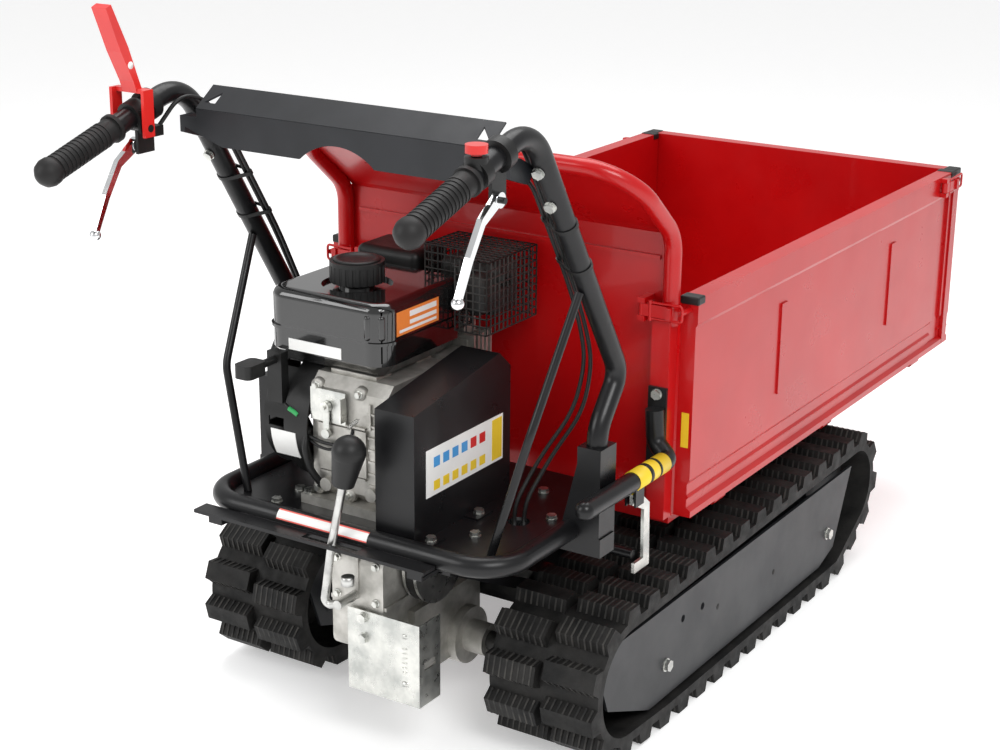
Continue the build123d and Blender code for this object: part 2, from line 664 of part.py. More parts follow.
# ---------------------------------------------------------------- drive
COVER_LINE = [(-394, DECK_Z), (-394, 531), (-180, 566), (-150, 540), (-150, DECK_Z)]
COVER_INNER = [(-392, DECK_Z - 5), (-392, 529.3), (-181, 563.8), (-152, 539), (-152, DECK_Z - 5)]


def belt_cover():
    """Folded sheet cover over the V-belt, open towards the engine."""
    shell = side_plate(COVER_LINE, -108, -42) - side_plate(COVER_INNER, -106, -41)
    feet = [block((x - 20, x + 20), (-132, -107), (DECK_Z, DECK_Z + 3)) for x in (-373, -252)]
    return drill(joined([shell] + feet), COVER_BOLTS)


INPUT_R = 10                     # gearbox input shaft


def pulley(spot, groove, flange):
    """V-belt pulley with one groove."""
    wheel = rod(at_y(spot, -80), at_y(spot, -56), flange)
    return wheel - rod(at_y(spot, -75), at_y(spot, -61), flange + 1, groove)


def engine_pulley():
    """Small pulley keyed on the end of the crankshaft."""
    return pulley(CRANK, PULLEY_R1, PULLEY_R1 + 10).fuse(
        rod(at_y(CRANK, -92), at_y(CRANK, -4), CRANK_R))


def gearbox_pulley():
    """Large pulley keyed on the gearbox input shaft."""
    return pulley(SHAFT, PULLEY_R2, PULLEY_R2 + 9).fuse(
        rod(at_y(SHAFT, -86), at_y(SHAFT, -36), INPUT_R))


def v_belt():
    """V-belt between the two pulleys."""
    circles = [(*CRANK, PULLEY_R1 + VBELT_T), (*SHAFT, PULLEY_R2 + VBELT_T)]
    return loop_band(circles, 0.3 - VBELT_T, 0, BELT_Y - 6, BELT_Y + 6)


def idler_arm():
    """Tensioner arm with the pin of its roller."""
    (x, z), (rx, rz) = IDLER_PIVOT, IDLER_ROLLER
    plate = side_plate([(x - 9, z + 9), (x + 9, z + 9), (rx + 8, rz - 8), (rx - 8, rz - 8)], -50, -44)
    hub = rod(at_y(IDLER_PIVOT, -53), at_y(IDLER_PIVOT, -42), 12)
    pin = rod(at_y(IDLER_ROLLER, -80), at_y(IDLER_ROLLER, -44), 5)
    return joined([plate, hub, pin]) - rod(at_y(IDLER_PIVOT, -60), at_y(IDLER_PIVOT, -40), 5 + FIT)


def idler_roller():
    """Flat roller that presses on the back of the belt."""
    return rod(at_y(IDLER_ROLLER, -78), at_y(IDLER_ROLLER, -57), 20, 5 + FIT)


SHIFT_AT = (-2, 241)             # shift shaft, y and z


def gearbox():
    """Cast gearbox with two output tubes."""
    x, z = SPROCKET[:2]
    body = fillet(block((-390, -150), (-50, 40), (150, 306)).edges().filter_by(Axis.Y), 18)
    lower = rod((x, -76, z), (x, 66, z), 44).fuse(block((-330, -158), (-62, 22), (95, 205)))
    tube = rod((x, -110, z), (x, 110, z), 25)
    ribs = [block((-388, -160), (y, y + 4), (225, 231)) for y in (-54, 40)]
    case = joined([body, lower, tube] + ribs)
    case -= rod((-395, *SHIFT_AT), (-372, *SHIFT_AT), 7 + FIT)
    case -= rod(at_y(SHAFT, -60), at_y(SHAFT, -35), INPUT_R + FIT)
    for side in (1, -1):
        case -= rod((x, side * 91, z), (x, side * 112, z), AXLE_R + FIT)
    return drill(case, GUARD_BOLTS)


def gearbox_guard():
    """Zinc plate behind the gearbox, with a folded and slotted edge."""
    plate = block((-397, -395), (-115, 8), (95, 223))
    fold = block((-397, -345), (-117, -115), (95, 223)) - block((-385, -357), (-120, -110), (150, 162))
    posts = [rod((-396, y, z), (-390, y, z), 9) for (_, y, z), *_ in GUARD_BOLTS]
    return drill(joined([plate, fold] + posts), GUARD_BOLTS)


GEAR_PATH = [(-428, -2, 241), (-428, 26, 232), (-441, 0, 336), (-440, -31, 474)]


def gear_lever():
    """Bent gear lever on its shaft."""
    shaft = rod((-434, *SHIFT_AT), (-374, *SHIFT_AT), 7)
    return bent_tube(GEAR_PATH, [8, 60], 6).fuse(shaft)


def gear_knob():
    """Tapered grip with a domed top."""
    foot, tip = Vector(GEAR_PATH[2]), Vector(GEAR_PATH[3])
    run = (tip - foot).normalized()
    start = foot + run * 97
    cone = Solid.make_cone(16, 24, 50, Plane(origin=start, z_dir=run))
    dome = Pos(*(start + run * 50)) * Sphere(24)
    knob = cone.fuse(dome)
    return knob - rod(tuple(start - run * 5), tuple(tip), 6)


# ---------------------------------------------------------------- load box
SIDE_HINGES = (120, 532, 944)
FRONT_HINGES = (200, -200)
KNUCKLE_R, HINGE_PIN_R = 7, 3
HINGE_Y = BOX_W / 2 - PANEL_HINGE_IN
HINGE_X = NOSE_X - PANEL_HINGE_IN
LATCH_Z = 620
REAR_LATCH = (-26, 255)          # pivot x and y
FRONT_LATCH = (990, 337)
REAR_REACH, FRONT_REACH = 64, 89
STUD_R = 4
HOOP_X = -10
HANDLE_BOLTS = [((-29, -285, z), (-1, 0, 0), 8, 12) for z in (384, 495)]


def panel_section():
    """Outline across a panel: outward depth and height, with rail, field and bottom recess."""
    full = PANEL_T
    return [(0, BOX_Z), (full, BOX_Z), (full, 308), (full - 7, 313), (full - 7, 326),
            (full - 4, 330), (full - 7, 334), (full - 7, 350), (full - 3, 357),
            (full - 3, 594), (full, 600), (full, RIM_Z), (0, RIM_Z)]


def panel_hollow():
    """Outline of the space inside a panel, open at the bottom."""
    depth = PANEL_T - SKIN
    return [(SKIN, BOX_Z - 5), (depth - 8, BOX_Z - 5), (depth - 8, 352), (depth - 3, 358),
            (depth - 3, 594), (depth, 601), (depth, RIM_Z - SKIN), (SKIN, RIM_Z - SKIN)]


def side_panel():
    """Hinged side of the load box, with its latch bracket, catch stud and knuckles."""
    inner = BOX_W / 2 - PANEL_T
    skin = prism([(4, inner + d, z) for d, z in panel_section()], (1056, 0, 0))
    skin -= block((1003, 1048), (BOX_W / 2 - 8, BOX_W / 2 + 1), (313, 594))
    skin -= prism([(6, inner + d, z) for d, z in panel_hollow()], (995, 0, 0))
    skin -= block((1003, 1048), (inner + SKIN, BOX_W / 2 - 10), (290, RIM_Z - SKIN))
    for x in (300, 760):
        skin = skin.fuse(block((x, x + 22), (BOX_W / 2 - 3.5, BOX_W / 2), (410, 560)))
    parts = [skin] + [side_knuckle(x - 18) for x in SIDE_HINGES]
    parts += [block((FRONT_LATCH[0] - 6, FRONT_LATCH[0] + 6), (329, 343), (z, z + 8))
              for z in (LATCH_Z - 17.5, LATCH_Z + 9.5)]
    parts.append(rod((*FRONT_LATCH, LATCH_Z - 16), (*FRONT_LATCH, LATCH_Z + 16), 2.5))
    parts.append(rod((-23.5, HINGE_Y, LATCH_Z), (6, HINGE_Y, LATCH_Z), STUD_R))
    panel = joined(parts)
    for x in SIDE_HINGES:
        panel -= rod((x - 19, HINGE_Y, PANEL_HINGE_Z), (x + 1, HINGE_Y, PANEL_HINGE_Z),
                     HINGE_PIN_R + FIT)
    return panel


def side_knuckle(x):
    """Panel half of a side hinge."""
    barrel = rod((x, HINGE_Y, PANEL_HINGE_Z), (x + 18, HINGE_Y, PANEL_HINGE_Z), KNUCKLE_R)
    return barrel.fuse(block((x, x + 18), (HINGE_Y - 13, HINGE_Y + 12), (PANEL_HINGE_Z + 5, 301)))


def front_panel():
    """Hinged front of the load box, with a catch stud at each end."""
    inner = NOSE_X - PANEL_T
    half = BOX_W / 2
    skin = prism([(inner + d, -half, z) for d, z in panel_section()], (0, 2 * half, 0))
    skin -= prism([(inner + d, -half + SKIN, z) for d, z in panel_hollow()],
                  (0, 2 * (half - SKIN), 0))
    parts = [skin]
    for y in FRONT_HINGES:
        parts.append(rod((HINGE_X, y - 18, PANEL_HINGE_Z), (HINGE_X, y, PANEL_HINGE_Z), KNUCKLE_R))
        parts.append(block((HINGE_X - 13, HINGE_X + 12), (y - 18, y), (PANEL_HINGE_Z + 5, 301)))
    parts += both(rod((HINGE_X, half - 4, LATCH_Z), (HINGE_X, half + 4.5, LATCH_Z), STUD_R))
    panel = joined(parts)
    for y in FRONT_HINGES:
        panel -= rod((HINGE_X, y - 19, PANEL_HINGE_Z), (HINGE_X, y + 1, PANEL_HINGE_Z),
                     HINGE_PIN_R + FIT)
    return panel


def floor_hinges():
    """Floor halves of all the hinges, with their pins."""
    pieces = []
    for x in SIDE_HINGES:
        half = [rod((x + 0.5, HINGE_Y, PANEL_HINGE_Z), (x + 18.5, HINGE_Y, PANEL_HINGE_Z), KNUCKLE_R),
                rod((x - 20, HINGE_Y, PANEL_HINGE_Z), (x + 5, HINGE_Y, PANEL_HINGE_Z), HINGE_PIN_R),
                block((x + 0.5, x + 18.5), (294, HINGE_Y), (284, 288))]
        pieces += half + [mirrored(piece) for piece in half]
    for y in FRONT_HINGES:
        pieces += [rod((HINGE_X, y + 0.5, PANEL_HINGE_Z), (HINGE_X, y + 18.5, PANEL_HINGE_Z), KNUCKLE_R),
                   rod((HINGE_X, y - 20, PANEL_HINGE_Z), (HINGE_X, y + 5, PANEL_HINGE_Z), HINGE_PIN_R),
                   block((1056, HINGE_X), (y + 0.5, y + 18.5), (284, 288))]
    return pieces


def box_floor():
    """Floor tray: sheet, skirt, two channels and the tipping lugs."""
    sheet = block((0, 1061), (-301, 301), (BOX_Z - 1, BOX_Z + FLOOR_T - 1))
    skirt = block((0, 1058), (-296, 296), (283, 298)) - block((3, 1055), (-293, 293), (280, 297))
    channel = block((40, 900), (105, 135), (262.5, 298)) - block((36, 904), (108, 132), (265.5, 297))
    lug = side_plate([(770, 297), (786, 250), (814, 250), (830, 297)], 138, 148)
    web = block((770, 830), (134, 140), (280, 297))
    floor = joined([sheet, skirt] + both(channel) + both(lug) + both(web) + floor_hinges())
    return floor - rod((TIP_X, -150, TIP_Z), (TIP_X, 150, TIP_Z), PIN_R + FIT)


HOOP_POINTS = [(HOOP_X, -HOOP_Y, 598), (HOOP_X, -HOOP_Y, LIP_Z), (-145, -HOOP_Y, 845),
               (-145, HOOP_Y, 845), (HOOP_X, HOOP_Y, LIP_Z), (HOOP_X, HOOP_Y, 598)]
HOOP_RADII = [60, 80, 80, 60]


def lip_sheet():
    """Sheet that leans back over the engine, inside the tube hoop."""
    low, high = Vector(HOOP_X, 0, LIP_Z + 8), Vector(-145, 0, 845)
    run = high - low
    plane = Plane(origin=(low + high) / 2, x_dir=(0, 1, 0), z_dir=run.cross(Vector(0, 1, 0)))
    sheet = Rectangle(2 * HOOP_Y, run.length)
    far = sheet.vertices().group_by(Axis.Y)[-1 if plane.y_dir.Z > 0 else 0]
    return extrude(plane * fillet(far, 76), amount=1, both=True)


def rear_wall():
    """Fixed rear wall with its bent tube hoop, corner posts and latch brackets."""
    sheet = block((-2, 0), (-297, 297), (297, LIP_Z))
    bend = side_plate([(-2, LIP_Z - 1), (0, LIP_Z - 1), (HOOP_X + 2, LIP_Z + 10),
                       (HOOP_X - 1, LIP_Z + 9)], -285, 285)
    hoop = bent_tube(HOOP_POINTS, HOOP_RADII, HOOP_R)
    post = block((-24, 0), (270, 300), (297, 610)) - block((-22, -2), (272, 298), (290, 606))
    hem = block((-6, 0), (-270, 270), (690, 696))
    x, y = REAR_LATCH
    brackets = [block((x - 6, 0), (y - 6, y + 6), (z, z + 8))
                for z in (LATCH_Z - 17.5, LATCH_Z + 9.5)]
    pivot = rod((x, y, LATCH_Z - 16), (x, y, LATCH_Z + 16), 2.5)
    wall = joined([sheet, bend, hoop, lip_sheet(), hem] + both(post) + both(pivot)
                  + both(brackets[0]) + both(brackets[1]))
    return drill(wall, HANDLE_BOLTS)


def toggle_latch(reach):
    """Latch lever with its wire bail, along +X from the pivot, outside towards +Y."""
    hub = rod((0, 0, -9), (0, 0, 9), 6)
    lever = block((0, 46), (2, 5.5), (-9, 9)).fuse(block((42, 50), (3, 9), (-9, 9)))
    bail = bent_tube([(14, 3, -12), (reach, 0, -12), (reach, 0, 12), (14, 3, 12)], [5, 5], 2)
    cross = rod((14, 3.2, -15), (14, 3.2, 15), 3)
    return joined([hub, lever, cross, bail]) - rod((0, 0, -20), (0, 0, 20), 2.5 + FIT)


def rear_latch():
    """Left rear toggle latch."""
    return Pos(*REAR_LATCH, LATCH_Z) * Rot(0, 0, 90) * toggle_latch(REAR_REACH)


def front_latch():
    """Left front toggle latch."""
    return Pos(*FRONT_LATCH, LATCH_Z) * toggle_latch(FRONT_REACH)


HOOK_PIVOT = (-150, 380)         # catch hook, x and z
HOOK_Y = -318


def tip_handle():
    """Black tube handle on the right rear post, with the pivot of the catch hook."""
    path = [(-38.5, -287, 475), (-38.5, -290, 425), (-48, HOOK_Y, 406), (-290, HOOK_Y, 408)]
    tube = bent_tube(path, [24, 16], 14)
    dome = Pos(*path[-1]) * Sphere(14)
    plate = block((-29, -24), (-300, -270), (374, 505))
    lugs = [block((-162, -138), (y, y + 3), (370, 402)) for y in (-327, -312)]
    pin = rod(at_y(HOOK_PIVOT, -327), at_y(HOOK_PIVOT, -309), 4)
    return drill(joined([tube, dome, plate, pin] + lugs), HANDLE_BOLTS)


def latch_hook():
    """Sprung hook that holds the load box down on the frame."""
    x, z = HOOK_PIVOT
    outline = [(x - 10, z + 8), (x + 4, z + 11), (-108, z - 20), (-104, 262), (-148, 262),
               (-148, 277.5), (-122, 277.5), (-124, z - 26), (x - 10, z - 8)]
    plate = side_plate(outline, -320.5, -315.5)
    return plate - rod(at_y(HOOK_PIVOT, -322), at_y(HOOK_PIVOT, -314), 4 + FIT)


# ---------------------------------------------------------------- assembly
def bolts(specs):
    """Set of separate bolts."""
    return [hexagon_bolt(*spec) for spec in specs]


def group(solids):
    """Several separate solids under one name."""
    return Compound([single for solid in solids for single in solid.solids()])


def mirrored_specs(specs):
    """Bolt list for the other side of the machine."""
    return [((x, -y, z), (a, -b, c), *rest) for (x, y, z), (a, b, c), *rest in specs]


PARTS = {
    "main_frame": main_frame().fuse(tip_pin()), "deck_plate": deck_plate(),
    "deck_rail": deck_rail().fuse(shift_gate()),
    "control_panel": control_panel(),
    "stop_button": stop_button(), "clutch_lever": clutch_lever(),
    "control_clamps": group(both(lever_perch()) + [stop_housing(), clutch_bracket()]),
    "control_cables": group(control_cables() + cable_ties()),
    "engine_block": engine_block(), "cylinder_head": cylinder_head(),
    "recoil_housing": recoil_housing(), "recoil_grip": recoil_grip(),
    "fuel_tank": fuel_tank(), "fuel_cap": fuel_cap(), "air_cleaner": air_cleaner(),
    "carburettor": carburettor(), "choke_lever": choke_lever(),
    "throttle_bracket": throttle_bracket(), "throttle_lever": throttle_lever(),
    "muffler": muffler(), "muffler_guard": muffler_guard(),
    "belt_cover": belt_cover(), "engine_pulley": engine_pulley(),
    "gearbox_pulley": gearbox_pulley(), "v_belt": v_belt(),
    "idler_arm": idler_arm(), "idler_roller": idler_roller(),
    "gearbox": gearbox(), "gearbox_guard": gearbox_guard(),
    "gear_lever": gear_lever(), "gear_knob": gear_knob(),
    "box_floor": box_floor(), "rear_wall": rear_wall(), "front_panel": front_panel(),
    "tip_handle": tip_handle(), "latch_hook": latch_hook(),
    "machine_bolts": group(bolts(DECK_BOLTS + COVER_BOLTS + ENGINE_BOLTS + GUARD_BOLTS
                                 + BAR_BOLTS + mirrored_specs(BAR_BOLTS)
                                 + TRACK_BOLTS + mirrored_specs(TRACK_BOLTS))),
    "handle_bolts": group(bolts(HANDLE_BOLTS)),
    "handlebars": group(both(handlebar()) + both(brace_rod())),
    "hand_grips": group(both(hand_grip())),
    "track_frames": group(both(track_frame())), "rubber_tracks": group(both(rubber_track())),
}
PAIRS = {
    "steering_lever": steering_lever(), "side_panel": side_panel(),
    "rear_latch": rear_latch(), "front_latch": front_latch(),
    "drive_sprocket": drive_sprocket(),
    "front_idler": road_roller(*IDLER),
}


def main():
    """Write every part to its own file."""
    os.makedirs("parts", exist_ok=True)
    parts = dict(PARTS)
    for name, part in PAIRS.items():
        parts[name + "_left"], parts[name + "_right"] = both(part)
    for place, x in zip(("rear", "middle", "front"), ROLLER_XS):
        roller = road_roller(x, ROLLER_Z, ROLLER_R)
        parts[f"{place}_roller_left"], parts[f"{place}_roller_right"] = both(roller)
    for name, part in parts.items():
        export_step(Pos(-ORIGIN_X, 0, 0) * part, f"parts/{name}.step")
    print(len(parts), "parts")


main()
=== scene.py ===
"""Looks of the tracked power wheelbarrow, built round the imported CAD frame."""

import math

import bmesh
import bpy
from mathutils import Matrix, Vector


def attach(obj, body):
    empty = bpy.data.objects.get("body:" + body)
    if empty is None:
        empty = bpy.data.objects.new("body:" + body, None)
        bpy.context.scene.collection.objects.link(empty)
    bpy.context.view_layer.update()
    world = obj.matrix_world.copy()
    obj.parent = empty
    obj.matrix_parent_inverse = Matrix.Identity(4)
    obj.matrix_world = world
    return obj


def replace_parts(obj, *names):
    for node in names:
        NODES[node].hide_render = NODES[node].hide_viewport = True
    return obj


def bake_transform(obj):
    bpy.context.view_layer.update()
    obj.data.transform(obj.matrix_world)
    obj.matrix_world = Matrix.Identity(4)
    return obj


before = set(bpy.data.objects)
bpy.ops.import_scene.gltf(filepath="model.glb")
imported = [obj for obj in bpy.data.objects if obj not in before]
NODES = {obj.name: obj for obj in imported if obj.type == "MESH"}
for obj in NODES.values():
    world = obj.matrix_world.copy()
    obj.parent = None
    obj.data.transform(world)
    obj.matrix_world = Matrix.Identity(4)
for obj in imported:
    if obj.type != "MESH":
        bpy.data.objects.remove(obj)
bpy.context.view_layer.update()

ORIGIN_X = 209.94                # from the row's origin to the drawing datum, mm
MM = 0.001


def mm(x, y, z):
    """Point of the working drawing, in the row frame."""
    return Vector(((x - ORIGIN_X) * MM, y * MM, z * MM))


# ---------------------------------------------------------------- materials
def node(tree, kind, **values):
    """Shader node with its inputs set."""
    made = tree.nodes.new(kind)
    for key, value in values.items():
        made.inputs[key].default_value = value
    return made


def noise(tree, coords, scale, detail=4.0):
    """Noise texture over object coordinates."""
    made = node(tree, "ShaderNodeTexNoise", Scale=scale, Detail=detail, Roughness=0.55)
    tree.links.new(coords, made.inputs["Vector"])
    return made.outputs["Fac"]


def ramp(tree, value, low, high):
    """Colour ramp between two colours, over the middle of the noise range."""
    made = tree.nodes.new("ShaderNodeValToRGB")
    for stop, position, colour in zip(made.color_ramp.elements, (0.35, 0.65), (low, high)):
        stop.position = position
        stop.color = (*colour, 1)
    tree.links.new(value, made.inputs["Fac"])
    return made.outputs["Color"]


def spread(tree, value, low, high):
    """Value stretched from 0.3..0.7 to a new range."""
    made = tree.nodes.new("ShaderNodeMapRange")
    for name, number in (("From Min", 0.3), ("From Max", 0.7), ("To Min", low), ("To Max", high)):
        made.inputs[name].default_value = number
    tree.links.new(value, made.inputs["Value"])
    return made.outputs["Result"]


def surface(name, low, high, rough, metallic=0.0, coat=0.0, patch=14.0, grain=900.0,
            depth=0.0002, strength=0.25, specular=0.5):
    """Principled surface: two-tone mottling, uneven roughness and a fine bump."""
    made = bpy.data.materials.new(name)
    made.use_nodes = True
    tree = made.node_tree
    shader = tree.nodes["Principled BSDF"]
    coords = node(tree, "ShaderNodeTexCoord").outputs["Object"]
    tree.links.new(ramp(tree, noise(tree, coords, patch), low, high), shader.inputs["Base Color"])
    tree.links.new(spread(tree, noise(tree, coords, patch * 2.3), *rough),
                   shader.inputs["Roughness"])
    bump = node(tree, "ShaderNodeBump", Strength=strength, Distance=depth)
    tree.links.new(noise(tree, coords, grain, 2.0), bump.inputs["Height"])
    tree.links.new(bump.outputs["Normal"], shader.inputs["Normal"])
    shader.inputs["Metallic"].default_value = metallic
    shader.inputs["Coat Weight"].default_value = coat
    shader.inputs["Coat Roughness"].default_value = 0.06
    shader.inputs["Specular IOR Level"].default_value = specular
    return made


def print_ink(name, low, high):
    """Smooth satin colour of a sticker."""
    return surface(name, low, high, (0.35, 0.45), grain=300, strength=0.04)


RED = surface("red_enamel", (0.42, 0.0015, 0.003), (0.49, 0.003, 0.004), (0.26, 0.34), coat=0.22,
              patch=5, grain=260, depth=0.0003, strength=0.03, specular=0.35)
RED_PLASTIC = surface("red_plastic", (0.60, 0.012, 0.010), (0.68, 0.02, 0.015), (0.28, 0.36),
                      coat=0.3, grain=500, strength=0.08)
BLACK = surface("black_powder_coat", (0.005, 0.005, 0.0055), (0.009, 0.009, 0.010), (0.26, 0.36),
                grain=700, strength=0.12, patch=9, specular=0.34)
PANEL_BLACK = surface("grey_black_sheet", (0.008, 0.009, 0.011), (0.013, 0.014, 0.017), (0.38, 0.48),
                      grain=1100, strength=0.15, specular=0.4)
GLOSS = surface("tank_enamel", (0.004, 0.004, 0.004), (0.007, 0.007, 0.007), (0.10, 0.16), coat=0.8,
                grain=180, strength=0.03)
PLASTIC = surface("black_plastic", (0.006, 0.006, 0.006), (0.011, 0.011, 0.011), (0.36, 0.5),
                  grain=1500, strength=0.2, specular=0.35)
GRIP = surface("grip_rubber", (0.007, 0.007, 0.007), (0.013, 0.012, 0.012), (0.45, 0.6), grain=1200,
               strength=0.3, specular=0.3)
TRACK = surface("track_rubber", (0.006, 0.006, 0.006), (0.018, 0.017, 0.016), (0.5, 0.75),
                patch=22, grain=420, depth=0.0008, strength=0.35, specular=0.25)
SCUFF = surface("track_rib_rubber", (0.018, 0.018, 0.018), (0.055, 0.052, 0.048), (0.6, 0.85),
                patch=40, grain=500, depth=0.0006, strength=0.3, specular=0.3)
SIDE = surface("track_side_plate", (0.017, 0.018, 0.020), (0.025, 0.026, 0.029), (0.38, 0.48),
               patch=7, grain=900, strength=0.08, specular=0.4)
CAST = surface("cast_aluminium", (0.38, 0.37, 0.34), (0.60, 0.585, 0.55), (0.36, 0.52), metallic=0.75,
               patch=30, grain=1300, depth=0.0006, strength=0.5)
ZINC = surface("zinc_plate", (0.45, 0.46, 0.44), (0.72, 0.72, 0.68), (0.22, 0.42), metallic=0.95,
               patch=26, grain=900, strength=0.12)
STEEL = surface("turned_steel", (0.42, 0.42, 0.41), (0.6, 0.6, 0.58), (0.25, 0.38), metallic=1.0,
                patch=40, grain=1600, strength=0.15)
CHROME = surface("chrome", (0.78, 0.79, 0.80), (0.86, 0.87, 0.88), (0.04, 0.10), metallic=1.0,
                 patch=20, grain=300, strength=0.02)
DARK = surface("dark_steel", (0.02, 0.02, 0.02), (0.045, 0.043, 0.04), (0.45, 0.6), metallic=0.3,
               grain=900, strength=0.2)
WHITE = print_ink("label_white", (0.80, 0.80, 0.78), (0.88, 0.88, 0.86))
YELLOW = print_ink("label_yellow", (0.80, 0.55, 0.02), (0.88, 0.62, 0.03))
ORANGE = print_ink("label_orange", (0.78, 0.20, 0.03), (0.84, 0.24, 0.04))
BLUE = print_ink("label_blue", (0.05, 0.28, 0.62), (0.07, 0.33, 0.68))
PINK = print_ink("label_red", (0.75, 0.10, 0.08), (0.82, 0.15, 0.12))
GREEN = surface("green_plastic", (0.02, 0.30, 0.08), (0.03, 0.38, 0.10), (0.4, 0.5), grain=600,
                strength=0.1)

CAD_LOOKS = {
    RED: ("box_floor", "rear_wall", "front_panel", "side_panel_left", "side_panel_right",
          "rear_latch_left", "rear_latch_right", "front_latch_left", "front_latch_right"),
    RED_PLASTIC: ("clutch_lever", "stop_button"),
    BLACK: ("main_frame", "deck_plate", "deck_rail", "handlebars", "belt_cover", "tip_handle"),
    PANEL_BLACK: ("control_panel",),
    GLOSS: ("fuel_tank",),
    PLASTIC: ("control_clamps", "air_cleaner", "control_cables", "recoil_grip", "fuel_cap",
              "choke_lever", "recoil_housing", "gear_knob"),
    GRIP: ("hand_grips", "v_belt"),
    TRACK: ("rubber_tracks",),
    SIDE: ("track_frames",),
    CAST: ("engine_block", "cylinder_head", "gearbox", "carburettor"),
    ZINC: ("gearbox_guard", "throttle_bracket", "throttle_lever", "latch_hook", "machine_bolts",
           "handle_bolts", "idler_arm"),
    STEEL: ("gear_lever", "engine_pulley", "gearbox_pulley", "idler_roller"),
    CHROME: ("steering_lever_left", "steering_lever_right"),
    DARK: ("muffler", "front_idler_left", "front_idler_right", "rear_roller_left",
           "rear_roller_right", "middle_roller_left", "middle_roller_right", "front_roller_left",
           "front_roller_right", "drive_sprocket_left", "drive_sprocket_right", "muffler_guard"),
}
for look, names in CAD_LOOKS.items():
    for name in names:
        for place in NODES[name].material_slots:
            place.material = look


# ---------------------------------------------------------------- mesh helpers
def piece(name, bm, look, body, smooth=False):
    """New object with a look and a material slot, on a body if one is given."""
    mesh = bpy.data.meshes.new(name)
    bmesh.ops.recalc_face_normals(bm, faces=bm.faces)
    bm.to_mesh(mesh)
    bm.free()
    for face in mesh.polygons:
        face.use_smooth = smooth
    mesh.materials.append(look)
    made = bpy.data.objects.new(name, mesh)
    bpy.context.scene.collection.objects.link(made)
    if body:
        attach(made, body)
    return made


def add_box(bm, low, high):
    """Box between two corners in drawing millimetres."""
    verts = [bm.verts.new(mm(x, y, z)) for x in (low[0], high[0]) for y in (low[1], high[1])
             for z in (low[2], high[2])]
    for ids in ((0, 1, 3, 2), (4, 6, 7, 5), (0, 4, 5, 1), (2, 3, 7, 6), (0, 2, 6, 4), (1, 5, 7, 3)):
        bm.faces.new([verts[i] for i in ids])


def box_piece(name, low, high, look, body, bevel=0.0):
    """Single box piece, with rounded edges if asked."""
    bm = bmesh.new()
    add_box(bm, low, high)
    made = piece(name, bm, look, body)
    if bevel:
        rounded = made.modifiers.new("bevel", "BEVEL")
        rounded.width = bevel * MM
        rounded.segments = 3


def flat_blocks(name, blocks, look, body):
    """Several blocks, each a pair of corners, as one piece."""
    bm = bmesh.new()
    for low, high in blocks:
        add_box(bm, low, high)
    piece(name, bm, look, body)


def across(direction):
    """Two unit vectors square to a direction."""
    first = direction.orthogonal().normalized()
    return first, direction.cross(first).normalized()


def ring(bm, centre, a, b, radius, sides):
    """Circle of vertices round a centre in metres, in the plane of a and b."""
    angles = (2 * math.pi * i / sides for i in range(sides))
    return [bm.verts.new(centre + (a * math.cos(t) + b * math.sin(t)) * radius * MM)
            for t in angles]


def skin(bm, rings):
    """Walls between rings of vertices, closed at both ends."""
    for one, two in zip(rings, rings[1:]):
        for i in range(len(one)):
            j = (i + 1) % len(one)
            bm.faces.new((one[i], one[j], two[j], two[i]))
    bm.faces.new(rings[0][::-1])
    bm.faces.new(rings[-1])


def add_rod(bm, start, end, radius, sides=20):
    """Closed cylinder between two points in metres."""
    a, b = across((end - start).normalized())
    skin(bm, [ring(bm, centre, a, b, radius, sides) for centre in (start, end)])


def smooth_path(points, steps=8):
    """Catmull-Rom curve through points."""
    last = len(points) - 1
    path = []
    for i in range(last):
        p0, p1, p2, p3 = (points[min(max(i + k, 0), last)] for k in (-1, 0, 1, 2))
        for s in range(steps):
            t = s / steps
            path.append(0.5 * (2 * p1 + (p2 - p0) * t + (2 * p0 - 5 * p1 + 4 * p2 - p3) * t * t
                               + (3 * p1 - p0 - 3 * p2 + p3) * t ** 3))
    return path + [points[-1]]


def wire(name, points, radius, look, body):
    """Smooth round wire through points in drawing millimetres, as a mesh tube."""
    path = smooth_path([mm(*p) for p in points])
    bm = bmesh.new()
    rings = []
    up = (path[1] - path[0]).normalized().orthogonal().normalized()
    for i, centre in enumerate(path):
        run = (path[min(i + 1, len(path) - 1)] - path[max(i - 1, 0)]).normalized()
        up = (up - run * up.dot(run)).normalized()
        rings.append(ring(bm, centre, up, run.cross(up), radius, 10))
    skin(bm, rings)
    piece(name, bm, look, body, smooth=True)


def lathe(name, start, direction, profile, look, body, sides=40):
    """Turned piece: profile is (distance along, radius) pairs in millimetres."""
    origin, run = mm(*start), Vector(direction).normalized()
    a, b = across(run)
    bm = bmesh.new()
    skin(bm, [ring(bm, origin + run * along * MM, a, b, radius, sides)
              for along, radius in profile])
    piece(name, bm, look, body, smooth=True)


# ---------------------------------------------------------------- tracks
LUG_LENGTH, LUG_WIDTH = 28, 84           # flat crown of one lug, mm
RIBS, RIB_FIRST, RIB_PITCH, RIB_HALF = 8, 6.5, 10.1, 1.3
RIB_OUTLINE = ((-21.2, -17.5), (21.2, -17.5), (14.6, 0.15), (-14.6, 0.15))


